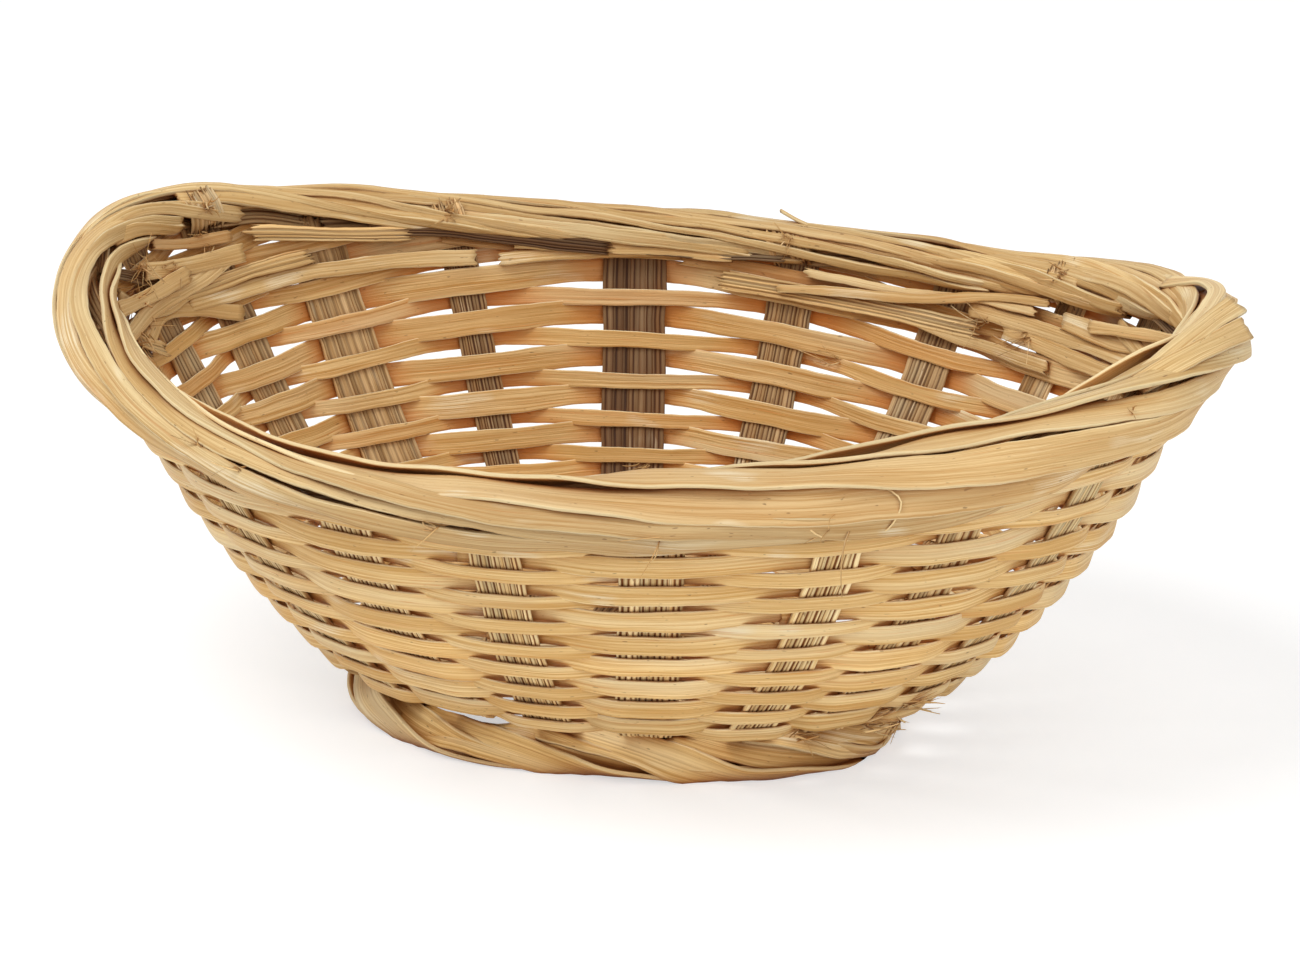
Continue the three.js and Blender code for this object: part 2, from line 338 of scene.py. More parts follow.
# %% Split bamboo
def split_bamboo(name, front, back, warm, streaks_per_mm, painted_shade_strength, groove="#3d2312", edge="#f3e4bb",
                 painted_shade_colour="#94521f", edge_light=0.8, face_clear=0, roughness=0.5, shine=0.35):
    """front and back are the light and the dark fibres of a strip's two faces. warm is its colour
    where sap has stained it, and where light that comes through it is painted in. painted_shade_colour
    is shade painted where another strip touches it, painted_shade_strength how strong that painted
    shade gets, and face_clear how little of warm the front shows."""
    material = bpy.data.materials.new(name)
    material.use_nodes = True
    tree = material.node_tree
    tree.nodes.clear()
    grain, marks, shade = (add(tree, "Attribute", attribute_name=label)["Vector"]
                           for label in ("grain", "marks", "shade"))
    in_groove, at_edge, is_face = add(tree, "SeparateXYZ", [marks])
    tone, warmth, _ = add(tree, "SeparateXYZ", [shade])

    def stretched(across, along, detail=3, rough=0.55, shift=0):
        """Noise that is stretched along the strip, with so many changes for each mm."""
        place = add(tree, "Mapping", {"Vector": grain, "Location": (shift, shift, shift),
                                      "Scale": (across, along, 1)})[0]
        noise = {"Vector": place, "Scale": 1, "Detail": detail, "Roughness": rough}
        return add(tree, "TexNoise", noise)["Fac"]

    # Fibres: coarse streaks along the strip, and fine ones between them. Real bundles of fibres are
    # 0.1 to 0.2 mm wide, too fine to show from here, so the streaks are drawn about twice as coarse.
    coarse = stretched(streaks_per_mm, 0.02, rough=0.6)
    fine = stretched(streaks_per_mm * 3, 0.06, rough=0.7, shift=11)
    shares = [add(tree, "Math", share, **times)[0] for share in ([coarse, 0.6], [fine, 0.4])]
    fibres = add(tree, "Math", shares, **plus)[0]
    light_fibres = add(tree, "ValToRGB", [fibres], stops={0.42: 0, 0.58: 1})[0]
    sides = [add(tree, "Mix", {0: light_fibres, 6: dark, 7: light}, data_type="RGBA")[2]
             for light, dark in (back, front)]
    colour = add(tree, "Mix", {0: is_face, 6: sides[0], 7: sides[1]}, data_type="RGBA")[2]
    # Light that comes through a thin strip, and sap, make it redder
    stain = add(tree, "Math", [stretched(0.35, 0.02, shift=70), 0.5], **plus)[0]
    warmed = add(tree, "Math", [warmth, stain], **times)[0]
    cleared = add(tree, "Math", [is_face, face_clear], **times)[0]
    kept = add(tree, "Math", [1.0, cleared], **minus)[0]
    warmed = add(tree, "Math", [warmed, kept], **times, use_clamp=True)[0]
    # Scuffed patches, where the surface is torn into pale fibres
    patches = stretched(0.15, 0.04, detail=2, shift=97)
    scuffs = add(tree, "ValToRGB", [patches], stops={0.62: 0, 0.7: 0.75})[0]
    torn = add(tree, "Math", [scuffs, light_fibres], **times)[0]
    # The grooves between splints are painted dark, as the shade in them. Those of the front are
    # fainter, apart from where it is stained.
    stained = add(tree, "Math", [warmth, 1.6], **times)[0]
    unstained = add(tree, "Math", [0.65, stained], **minus)[0]
    groove_fading = add(tree, "Math", [is_face, unstained], **times, use_clamp=True)[0]
    groove_shade = add(tree, "Math", [1.0, groove_fading], **minus)[0]
    grooved = add(tree, "Math", [in_groove, groove_shade], **times)[0]
    groove_colour = add(tree, "Mix", {0: is_face, 6: "#7d4c24", 7: groove}, data_type="RGBA")[2]
    # How close other strips are, near and further off, which sets the painted shade further down
    openness = add(tree, "AmbientOcclusion", {"Distance": 0.005}, samples=8)["AO"]
    shelter = add(tree, "AmbientOcclusion", {"Distance": 0.014}, samples=6)["AO"]
    level = add(tree, "Math", [1.0, tone], **plus)[0]
    grey = add(tree, "CombineXYZ", [level, level, level])[0]
    # Each layer covers those before it, as much as its source says when it is read through its stops
    drift = stretched(0.10, 0.010, detail=2, shift=31)
    layers = [
        # Broad drifts: the cane ripened unevenly, and some stretches are bleached
        (drift, {0.34: 0.5, 0.5: 0}, front[1], "MIX"),
        (drift, {0.52: 0, 0.72: 0.55}, edge, "MIX"),
        (warmed, None, warm, "MIX"),
        # Cut edges dry paler than the faces
        (at_edge, {0.93: 0, 0.99: edge_light}, edge, "MIX"),
        (torn, None, "#f7e9c6", "MIX"),
        # Specks, and now and then a long hair split
        (stretched(2.2, 0.5, detail=1, shift=57), {0.72: 0, 0.78: 0.6}, "#7a5228", "MIX"),
        (stretched(1.3, 0.008, detail=1, shift=83), {0.487: 0, 0.5: 0.6, 0.513: 0}, warm, "MIX"),
        (grooved, None, groove_colour, "MIX"),
        # Painted shade: the colour is darkened where strips touch, and their shade on each other is
        # painted warm, for the light that gets in between them off other strips.
        (openness, {0.15: painted_shade_strength, 0.5: painted_shade_strength * 0.35, 0.82: 0}, painted_shade_colour, "MIX"),
        (shelter, {0.25: 0.8, 0.8: 0}, "#ffebd0", "MULTIPLY"),
        # The strip's own tone
        (1.0, None, grey, "MULTIPLY"),
    ]
    for source, stops, over, blend in layers:
        factor = add(tree, "ValToRGB", [source], stops)[0] if stops else source
        mixed = {0: factor, 6: colour, 7: over}
        colour = add(tree, "Mix", mixed, data_type="RGBA", blend_type=blend)[2]
    # Fibres stand up a little from the ground
    heights = [add(tree, "Math", share, **times)[0] for share in ([coarse, 0.8], [fine, 0.6])]
    relief = add(tree, "Math", heights, **plus)[0]
    bump = add(tree, "Bump", {"Strength": 0.7, "Distance": 0.00030, "Height": relief})[0]
    uneven = add(tree, "Math", [fine, 0.3], **times)[0]
    rough = add(tree, "Math", [uneven, roughness - 0.15], **plus)[0]
    shader = add(tree, "BsdfPrincipled", {"Base Color": colour, "Roughness": rough, "Normal": bump,
                                          "IOR": 1.5, "Specular IOR Level": shine})[0]
    add(tree, "OutputMaterial", [shader])
    print("material", name, "with", len(tree.nodes), "nodes")
    return material


weaver_bamboo = split_bamboo(
    "shaved bamboo weaver", ("#f7d596", "#d3a259"), ("#f2cf92", "#c5934f"), "#d4853a",
    streaks_per_mm=2.2, painted_shade_strength=0.7, painted_shade_colour="#a85e22", face_clear=1, roughness=0.46)
# The front of a stake is the side that is seen inside the basket
stake_bamboo = split_bamboo(
    "bundled bamboo splints", ("#dcbb8a", "#b28c5a"), ("#f6dfab", "#dcba7e"), "#5c381c",
    streaks_per_mm=1, painted_shade_strength=0.6, groove="#42250f", painted_shade_colour="#7d4a22", edge_light=0, roughness=0.62, shine=0.25)
border_bamboo = split_bamboo(
    "split bamboo border strip", ("#eacc93", "#c69c5e"), ("#deba80", "#b98a4c"), "#c98a48",
    streaks_per_mm=2.6, painted_shade_strength=0.9, edge="#f4e2b2", painted_shade_colour="#8f4e1d", edge_light=0.7)
foot_bamboo = split_bamboo(
    "split bamboo foot strip", ("#f2ce8c", "#c99a55"), ("#d8ac66", "#b08044"), "#b9783a",
    streaks_per_mm=2, painted_shade_strength=0.85, edge_light=0.4)

# %% [markdown]
# ## Stakes
# Each stake is a bundle of eight to fourteen splints, so it looks like a comb with dark grooves.
# It comes up one wall, crosses the base and goes up the other wall. A striped picture on a flat
# strip would look the same in every light, so the splints are ribs of the strip's own section.
# The photograph shows that no two uprights are equally wide or exactly in their places, so both
# are given for each of them.

# %% Where the uprights really stand
# Widths in mm, and how far round each one stands from an even spacing, in degrees
upright_width = [8, 7.5, 7.5, 10, 10, 13.5, 7.5, 12.5, 9.5, 8.5,
                 8.5, 8, 8, 11, 9.8, 12, 8.8, 8.5, 7.5, 8]
upright_drift = [0, 1, -1.5, -2.5, -1, -0.7, 2, 2.6, 2, -0.5,
                 0, 0, 3, 3.5, 2, 0, 1.5, -2.5, -1, -1]


def real_angle(i, level=1.0):
    """Where upright i really stands. The drift grows from half at the base to full at the rim."""
    even_angle = first_upright_angle + upright_step * i
    return even_angle + upright_drift[i % upright_count] * (0.5 + 0.5 * level)


print("uprights at the rim", [round(real_angle(i), 1) for i in range(upright_count)], "degrees")

# %% Stakes through the base
stakes_across, stakes_along = 6, 4
cad_stake_thickness = 0.8
stake_width, stake_thickness, touch = 9.2, 1.0, 0.3
plait_lift = (cad_stake_thickness + touch) / 2
plait_hold = stake_width / 2 + touch


def stake_ends(i):
    """The two uprights that stake i turns into. The first may be counted back from upright 0."""
    across = i < stakes_across
    start = i + stakes_along // 2 if across else i - stakes_across - stakes_along // 2
    opposite = (upright_count if across else upright_count // 2) - 1 - start
    return start, opposite


def base_line(i):
    """The two points at the edge of the base that stake i runs between."""
    return [wall_point(real_angle(end, 0), 0.0) for end in stake_ends(i)]


def crossing_along(line, other):
    """How far along a line another one crosses it, as a share of its length."""
    d, e, gap = line[1] - line[0], other[1] - other[0], other[0] - line[0]
    return (gap[0] * e[1] - gap[1] * e[0]) / (d[0] * e[1] - d[1] * e[0])


def base_stations(i):
    """Points across the base, over one crossing stake and under the next."""
    line = base_line(i)
    length = np.linalg.norm(line[1] - line[0])
    along = (line[1] - line[0]) / length
    is_across = i < stakes_across
    others = range(stakes_across, stakes_across + stakes_along) if is_across else range(stakes_across)
    crossings = []
    for j in others:
        lift = (1 if (i + j) % 2 == 0 else -1) * (1 if is_across else -1) * plait_lift
        crossings.append((crossing_along(line, base_line(j)) * length, lift))
    return [line[0] + along * (distance + side * plait_hold) + up * lift
            for distance, lift in sorted(crossings) for side in (-0.6, 0.6)]


print("the first stake joins uprights", stake_ends(0))


# %% Stakes up the walls
def upright_stations(i):
    """Points up one wall, the way they face and their width."""
    levels = np.linspace(0.0, 0.99, 9)
    angles = np.array([real_angle(i, level) for level in levels])
    at = wall_point(angles, levels)
    way_round, slope, out, _ = wall_frame(angles, np.maximum(levels, 0.01))
    inwards = facing_in(way_round, slope, out)
    inwards[0] = unit(inwards[0] + up)
    width = np.full(len(levels), float(upright_width[i % upright_count]))
    width[0] = lerp(width[0], stake_width, 0.6)
    return at, inwards, width


ends_of_width = [round(float(v), 1) for v in upright_stations(5)[2][[0, -1]]]
print("upright 5 is", ends_of_width, "mm wide at the base and at the rim")


def comb_section(splints):
    """The section of a bundle of splints: rounded ribs with narrow grooves between them."""
    widths = chance.uniform(0.5, 1.4, splints)
    gaps = np.minimum(chance.gamma(1.3, 0.16, splints + 1), 0.5)
    gaps[0] = gaps[-1] = 0
    total = widths.sum() + gaps.sum()
    columns = []
    place = 0
    for n in range(splints):
        place += gaps[n]
        rib, tone = chance.uniform(0.7, 1.1), chance.normal(0, 0.14)
        sides = [min(1, 0.2 + 5 * gaps[n]), min(1, 0.2 + 5 * gaps[n + 1])]
        rib_shape = ((0, 0.4, sides[0]), (0.14, 0.85, 0.1), (0.5, 1, 0),
                     (0.86, 0.85, 0.1), (1, 0.4, sides[1]))
        columns += [(place + widths[n] * share, full * rib, deep, 0, tone) for share, full, deep in rib_shape]
        place += widths[n]
    across, *rest = np.array(columns).T
    return across / total * 2 - 1, *rest


# %% Whole stakes
stake_point_spacing = 2.2
# How dark old sap has made each upright, from 0 to 1
upright_stain = [0.1, 0.1, 0.05, 0.25, 0.3, 0.8, 0.5, 0, 0.1, 0.2,
                 0.1, 0.1, 0.1, 0, 0, 0.05, 0, 0.1, 0.1, 0.1]


def stake(i):
    """Stake i from the rim down one upright, through the base and up the other one."""
    start, opposite = stake_ends(i)
    first, middle, last = upright_stations(start), base_stations(i), upright_stations(opposite)
    at = np.concatenate([first[0][::-1], middle, last[0]])
    face = np.concatenate([first[1][::-1], np.tile(up, (len(middle), 1)), last[1]])
    width = np.concatenate([first[2][::-1], np.full(len(middle), stake_width), last[2]])
    second_half = np.linspace(0, 1, len(at)) > 0.5
    stain = lerp(upright_stain[start], upright_stain[opposite], second_half)
    at, face, width, stain = resample(at, stake_point_spacing, face, width, stain)
    # A splint is about 1 mm wide
    section = comb_section(round(max(upright_width[start], upright_width[opposite])))
    return strip(at, face, width, stake_thickness, section, ragged=0.15, warmth=stain, splinter=0.7)


def hidden_ends(i):
    """The end of upright i is laid down along the border. It opens there, and fills the border from
    side to side and up and down."""
    angle = real_angle(i) - np.array([2.0, 10.0, 19.0])
    out = round_and_out(border_line, angle)[1]
    outwards, upwards = np.array([-1.5, 0.0, 1.0])[:, None], np.array([0.5, 1.0, -1.0])[:, None]
    at = border_line(angle) + out * outwards + up * upwards
    at, face, width = resample(at, stake_point_spacing, unit(up - out), [7.0, 7.0, 6.0])
    crossed = (face, np.cross(face, unit(np.gradient(at, axis=0))))
    return [strip(at, way, width, stake_thickness, comb_section(8), warmth=0.2, splinter=0.8)
            for way in crossed]


for i in range(stakes_across + stakes_along):
    kind, n = ("across", i + 1) if i < stakes_across else ("along", i - stakes_across + 1)
    ends = [end for upright in stake_ends(i) for end in hidden_ends(upright % upright_count)]
    piece(f"splints_{kind}_{n}", [stake(i)] + ends, stake_bamboo, [f"stake_{kind}_{n}"])
print("stakes:", len(made), "pieces")

# %% [markdown]
# ## Weavers
# One flat strip goes round for each row, outside one upright and inside the next. A stiff strip
# can't turn sharply, so between two uprights it swings over in one soft curve. The rows take
# turns: the ones inside the middle uprights are narrower than their neighbours. They lie nearly
# level while the rim rises at the ends, so short rows fill the high ends under the border. A mesh
# with a picture of a weave would close the gaps that light falls through, so each row is laid.

# %% Heights of the rows
weaver_thickness = 0.5
narrow_share, wide_share = 0.80, 1.14
bottom_row, lowest_row_height = 16, 12.6
# Height of the top whole row, row 0, at each upright, in mm
top_row_height = [60, 60, 60, 60.5, 65.2, 66.8, 65.6, 62.6, 61.3, 59.5,
                  59, 59, 59, 58.5, 59, 61, 61.8, 62, 61.5, 60.5]


def bump_at(angle, middle, spread):
    """A soft rise to 1 at one angle, gone at about twice the spread from it."""
    away = (np.asarray(angle, float) - middle + 180) % 360 - 180
    return np.exp(-(away / spread) ** 2)


def row_level(row, angle):
    """The level in the wall at which a row lies. Lower rows lie closer together."""
    angle = np.asarray(angle, float)
    places = [real_angle(i) for i in range(upright_count)]
    around = [(angle + away) % 360 for away in (-9, -4, 0, 4, 9)]
    top = sum(np.interp(a, places, top_row_height, period=360) for a in around) / len(around)
    share = (bottom_row - row) / bottom_row
    crowding = 0.21 + 0.09 * np.sin(np.radians(angle))
    height = lowest_row_height + (top - lowest_row_height) * (share - crowding * share * (1 - share))
    rise = (height - base_height) / (rim_height(angle) - base_height)
    flat = 1 - wall_roundness
    return (np.sqrt(flat**2 + 4 * wall_roundness * np.maximum(rise, 0)) - flat) / (2 * wall_roundness)


def row_pitch(row, angle):
    """Distance up the wall from one row to the next, in mm."""
    above, below = (wall_point(angle, row_level(row + n, angle)) for n in (-0.5, 0.5))
    return np.linalg.norm(above - below, axis=-1)


print("on the far side row 8 is", round(float(row_pitch(8, 90.0)), 1), "mm from the next")


# %% One weaver
def weaver_swing(angle, row, level):
    """How far the strip is outside (1) or inside (-1) of the wall's middle. Row 0 is outside the
    even uprights."""
    numbers = np.arange(-upright_count, 2 * upright_count + 2)
    uprights = np.array([real_angle(i, level) for i in numbers])
    k = np.clip(np.searchsorted(uprights, angle, side="right") - 1, 0, len(uprights) - 2)
    share = (angle - uprights[k]) / (uprights[k + 1] - uprights[k])
    side = np.where((numbers[k] + row) % 2 == 0, 1.0, -1.0)
    spacing = np.linalg.norm(wall_point(uprights[k] + 9, level) - wall_point(uprights[k] - 9, level), axis=-1)
    hold = np.clip(4.4 / spacing, 0.08, 0.30)
    bend = np.clip((share - hold) / (1 - 2 * hold), 0, 1)
    return side * np.cos(np.pi * bend)


def weaver(row, start, end):
    """A strip of one row from a start to an end angle."""
    share = (narrow_share if row % 2 == 0 else wide_share) + 0.07 * max(0, row) / bottom_row
    angle = np.linspace(start, end, int(700 * (end - start) / 360))
    levels = row_level(row, angle)
    distance = along_path(wall_point(angle, levels))
    levels = levels + wander(distance, 150, 0.004)
    _, _, out, steepness = wall_frame(angle, levels)
    # At the right end the strips of the middle rows stand upright, so the wall goes down in steps
    steps = min(1, max(0, (row + 2) / 4), (18 - row) / 10)
    weaver_lean = 0.30 - 0.16 * np.cos(np.radians(angle)) ** 2 + 0.27 * steps * bump_at(angle, 350, 24)
    lean = np.minimum(steepness + weaver_lean, math.radians(88)) + wander(distance, 60, 0.05)
    # The gaps are widest beside the middle upright of the far side
    closer = 0.07 * bump_at(angle, 135, 22) + 0.06 * bump_at(angle, 62, 16) - 0.08 * bump_at(angle, 94, 11)
    width = share * row_pitch(row, angle) * (1 + wander(distance, 90, 0.05) + closer)
    # It clears the uprights with its upper and lower edge too
    clear = (stake_thickness + weaver_thickness) / 2 + 0.15
    offset = (clear + width / 2 * np.sin(lean - steepness)) / np.sin(steepness)
    swing = weaver_swing(angle, row, float(levels.mean()))
    # The end of a whole row slips inside its start
    tuck = np.clip((angle - (start + 350)) / 8, 0, 1) * 0.7
    at = wall_point(angle, levels) + out * (swing * offset - tuck)[:, None]
    face = np.sin(lean)[:, None] * out - np.cos(lean)[:, None] * up
    # Where the strip swings outside an upright, light that comes through the thin strip is painted in as a
    # warmer colour
    warmth = 0.05 + 0.7 * np.clip(swing, 0, 1) ** 1.5
    at, face, width, warmth = resample(at, 1.6, face, width, warmth)
    return strip(at, face, width, weaver_thickness, crown=0.12, ragged=0.10, tone=chance.normal(0, 0.04),
                 warmth=warmth + chance.normal(0, 0.06))


def whole_row(row):
    """A row right round, with its lap inside the near wall, behind an upright."""
    behind = 14 + (row + 1) % 2 + 2 * (row % 3 - 1)
    start = real_angle(behind, 0.5) - 4
    return weaver(row, start, start + 368)


side_of_first = weaver_swing(np.array([real_angle(0, 0.5)]), 0, 0.5)[0]
print("row 0 passes upright 0", "outside" if side_of_first > 0 else "inside")

# %% All the rows
# Row, first angle and last angle of the short rows
short_rows = [(-3, -62, 236), (-4, 118, 228), (-5, 135, 216), (-6, 150, 207), (-7, 161, 199),
              (-4, -50, 70), (-5, -36, 46), (-6, -24, 18)]
bands = {"upper": (-2, 3), "middle": (4, 7), "lower": (8, 11), "bottom": (12, 16)}
for band, (first, last) in bands.items():
    rows = [whole_row(row) for row in range(first, last + 1)]
    if band == "upper":
        rows += [weaver(*short) for short in short_rows]
    # The CAD model has only rows 0 to 15, and counts them from the bottom
    cad_rows = range(max(first, 0), min(last + 1, bottom_row))
    replaced = [f"weaver_row_{bottom_row - row:02d}" for row in cad_rows]
    piece(f"weavers_{band}", rows, weaver_bamboo, replaced)
print("weavers:", bottom_row + 3, "rows and", len(short_rows), "short ones")

# %% [markdown]
# ## Border
# Twenty strips are laid round the rim like the strands of a rope, each running a third of the
# way round while it climbs the outside, crosses the top and goes down the inside. Along the far
# side each one is split in two. A twist modifier would make them all alike, so each strip is laid
# by two angles: how far round the basket it is, and how far it has turned round the border.

# %% How the border is wound
border_strip_thickness = 0.9
# Where each strip crosses over from the top to the outside, against an even spacing, in degrees
strip_shift = [4, 5, 9, 4, 1, -8, -10, -15, -7, -9,
               -6, -10, -4, 5, 11, 8, 9, 8, 9, 7]


def border_radius(angle):
    """The border is thick towards the near right, and thin at the left end, the near left and the back."""
    ends = 0.9 * bump_at(angle, 208, 15) + 0.6 * bump_at(angle, 167, 12) + 0.4 * bump_at(angle, 42, 16)
    thick = 1.3 * bump_at(angle, 312, 32) + ends
    thin = 0.9 * bump_at(angle, 244, 20) + 0.75 * bump_at(angle, 84, 48) + 0.7 * bump_at(angle, 183, 26)
    return 5.7 + thick - thin - 0.4 * bump_at(angle, 132, 18)


def laid_strand(line, angle, turn, radius, tilt=0.0):
    """Points and faces of a strand round a line. turn 0 faces out of the basket and 90 faces up."""
    out = round_and_out(line, angle)[1]
    a, b = np.radians(turn)[:, None], np.radians(turn + tilt)[:, None]
    at = line(angle) + (out * np.cos(a) + up * np.sin(a)) * np.broadcast_to(radius, angle.shape)[:, None]
    return at, out * np.cos(b) + up * np.sin(b)


def border_turn(angle, crossing):
    """How far a strip has turned at an angle. Strips lie flatter along the sides than at the ends."""
    twice = np.sin(np.radians(2 * angle)) - math.sin(math.radians(2 * crossing))
    return 45 - 2.1 * (angle - crossing) - 17 * twice


def split_share(angle):
    """Along the far side each strip is split into two narrow ones."""
    return np.clip(1.6 * bump_at(angle, 100, 80) - 0.3, 0, 1)


print("border radius", [round(float(border_radius(a)), 1) for a in (0, 90, 180, 270)], "mm at the four sides")

# %% One border strip
first_crossing = 63


def border_strip(k, turn_from, turn_to, lane):
    """With lane -1 the whole strip k, narrowed where it is split. With lane 1 the half that was
    split off, or nothing where that would be too short."""
    crossing = first_crossing + upright_step * k + strip_shift[k]
    angle = np.linspace(crossing + 90, crossing - 100, 400)
    turn = border_turn(angle, crossing)
    kept = (turn > turn_from) & (turn < turn_to)
    if lane > 0:
        kept &= split_share(angle) > 0.25
    if kept.sum() < 40:
        return None
    angle, turn = angle[kept], turn[kept]
    distance = along_path(border_line(angle))
    turn = turn + wander(distance, 110, 4) + lane * 11 * split_share(angle)
    # Some strips ride high and throw a shadow on their neighbours. Both ends dive out of sight.
    radius = border_radius(angle) + wander(distance, 80, 0.45) + (0.4 if k % 2 else -0.4)
    dive = np.clip(1 - np.minimum(distance, distance[-1] - distance) / 12, 0, 1)
    tilt = 16 + wander(distance, 70, 12)
    at, face = laid_strand(border_line, angle, turn, radius - 1.2 * dive**2, tilt)
    at, face, place_round = resample(at, 1.5, face, angle)
    distance = along_path(at)
    # Seven or eight strips lie side by side. A wide gap between its neighbours makes one wider.
    room = 1 + (strip_shift[(k + 1) % upright_count] - strip_shift[k - 1]) / 2 / upright_step
    room = lerp(min(max(room, 0.9), 1.35), 1, split_share(place_round))
    share = 0.70 + 0.06 * bump_at(place_round, 285, 70) - 0.12 * bump_at(place_round, 207, 24)
    share = share * (1 - 0.50 * split_share(place_round)) * room
    width = border_radius(place_round) * share + chance.normal(0, 0.15) + wander(distance, 100, 0.3)
    # The middle of the near side is browner than the ends
    browner = bump_at(place_round, 285, 40)
    tone = chance.normal(0, 0.07) - 0.13 * browner - 0.12 * bump_at(place_round, 95, 45)
    warmth = np.clip(chance.normal(0.04, 0.06) + 0.14 * browner, 0, 1)
    return strip(at, face, width, border_strip_thickness, crown=0.15, ragged=0.12, tone=tone, warmth=warmth,
                 splinter=0.4)


first_turns = [round(float(border_turn(first_crossing + away, first_crossing))) for away in (60, 0, -60)]
print("the first strip turns by", first_turns, "degrees from the outside, over the top, to the inside")

# %% All the border strips
border_turn_from, border_turn_to = -85, 196
# A few strips come out later or end elsewhere than the others, at these turns in degrees
strip_start = {16: 25, 17: 10}
strip_end = {8: 172, 9: 180, 10: 205}
for k in range(upright_count):
    # The number of the CAD strand in the same place
    number = (k + 6) % upright_count + 1
    starts, ends = strip_start.get(k, border_turn_from), strip_end.get(k, border_turn_to)
    halves = [border_strip(k, starts, ends, lane) for lane in (-1, 1)]
    piece(f"border_strip_{number:02d}", [half for half in halves if half],
          border_bamboo, [f"border_strand_{number:02d}"])
print("border:", upright_count, "strips")

# %% [markdown]
# ## Loose ends
# The ends of the stakes and of the border strips aren't trimmed inside. They lie over the top rows
# in all directions, cut off square or torn. Scattering them by chance would never give the tangle
# of this basket, so each one is laid through a few places of the wall, given as an angle round
# the basket and a level, at its own distance inside the wall.

# %% Loose strips inside
loose_strip_thickness = 0.7


def laid_inside(places, inwards, width, splints=0, tone=0, warmth=0.1):
    """A strip through places of the wall, so many mm inside it. With splints it is a comb."""
    angle, level = np.array(places, float).T
    _, slope, out, _ = wall_frame(angle, level)
    inner_face = facing_in(round_and_out(border_line, angle)[0], slope, out)
    at = wall_point(angle, level) - out * inwards
    at, inner_face = resample(at, 1.5, inner_face)
    distance = along_path(at)
    inner_face = inner_face + up * wander(distance, 60, 0.15)[:, None]
    section = comb_section(splints) if splints else None
    return strip(at, inner_face, width + wander(distance, 50, 0.2), loose_strip_thickness, section,
                 crown=0.1, ragged=0.12, tone=tone, warmth=warmth, splinter=0.8 if splints else 0.35)


# Each end: its places, mm inside the wall, width, and its splints, tone and warmth if it has them
left_ends = [
    ([(120, .93), (127, .92), (135, .90), (144, .88), (155, .85), (169, .84)], 3.6, 3.4),
    ([(115, .97), (107, .97), (98, .98), (90, .98)], 4.2, 2.2),
    ([(143, .92), (153, .89), (163, .87), (178, .88)], 4.4, 3.3, 4),
    ([(151, .97), (143, .97), (137, .97), (128, .98)], 5.0, 3.2, 4, 0.15),
    ([(179, .95), (165, .92), (154, .93)], 5.2, 3.8),
    ([(156, .93), (164, .89), (176, .88), (198, .93)], 4.8, 3.8),
    ([(198, .99), (180, .91), (168, .91)], 6.0, 3.3),
    ([(190, .96), (182, .88), (176, .86), (168, .87)], 4.2, 3.0, 0, -0.08),
    ([(186, .84), (177, .85), (168, .83), (158, .80)], 3.4, 3.2),
    ([(172, .98), (163, .96), (155, .965)], 4.6, 2.4, 0, -0.1, 0.5),
    ([(195, .93), (190, .86), (183, .80)], 4.0, 3.2, 4),
    ([(124, .965), (116, .96), (107, .955)], 1.5, 2.5, 0, 0, 0.5),
]
right_ends = [
    ([(58, .88), (66, .89), (74, .90), (82, .91), (91, .92)], 3.6, 3.8, 5),
    ([(45, .94), (36, .92), (22, .92), (12, .93)], 4.2, 4.0),
    ([(48, .975), (57, .97), (66, .94), (76, .93), (84, .92)], 5.0, 2.0),
    ([(50, .95), (60, .955), (70, .95), (81, .965)], 4.4, 1.7),
    ([(10, .97), (23, .95), (39, .94)], 5.6, 2.4, 0, 0.1),
    ([(60, .93), (50, .91), (38, .89), (26, .88)], 3.4, 3.4),
    ([(54, .89), (44, .86), (34, .84), (22, .84)], 3.0, 3.4),
    ([(34, .95), (24, .90), (14, .87), (4, .86)], 4.6, 3.2, 0, -0.06),
    ([(117, .93), (110, .95), (103, .97), (95, .985)], 3.6, 2.8),
    ([(70, .90), (62, .86), (54, .84), (45, .82)], 3.0, 2.6, 0, -0.05),
    ([(96, .955), (90, .95), (83, .94), (75, .93)], 1.5, 3.0, 0, 0, 0.6),
]
dark_ends = [
    ([(133, .985), (125, 1.0), (116, .99), (104, .98)], 4.8, 4.0, 6, -0.25, 0.8),
    ([(112, 1.0), (103, .985), (94, .985), (84, 1.0)], 4.2, 3.2, 5, -0.2, 0.7),
    ([(188, 1.0), (181, .95), (173, .90)], 3.4, 2.6, 5, -0.2, 0.6),
    ([(200, .95), (194, .90), (188, .83)], 3.2, 3.0, 5, -0.2, 0.6),
    ([(30, 1.0), (22, .97), (10, .96)], 3.6, 3.0, 5, -0.2, 0.6),
]
piece("loose_ends_left", [laid_inside(*end) for end in left_ends], border_bamboo)
piece("loose_ends_right", [laid_inside(*end) for end in right_ends], border_bamboo)
piece("loose_ends_dark", [laid_inside(*end) for end in dark_ends], stake_bamboo)
print("loose strips inside:", len(left_ends + right_ends + dark_ends))

# %% Cut ends outside the border
def laid_on_border(places, width, tone=0):
    """A strip through places of the border: angle, turn and mm outside its usual radius."""
    angle, turn, rides = np.array(places, float).T
    at, face = laid_strand(border_line, angle, turn, border_radius(angle) + rides)
    at, face = resample(at, 1.5, face)
    distance = along_path(at)
    thickness, rough = min(0.9, width * 0.6), min(1, width / 3)
    return strip(at, face, width + wander(distance, 60, 0.2 * rough), thickness, crown=0.1 * rough,
                 ragged=0.12 * rough, tone=tone, splinter=0.2)


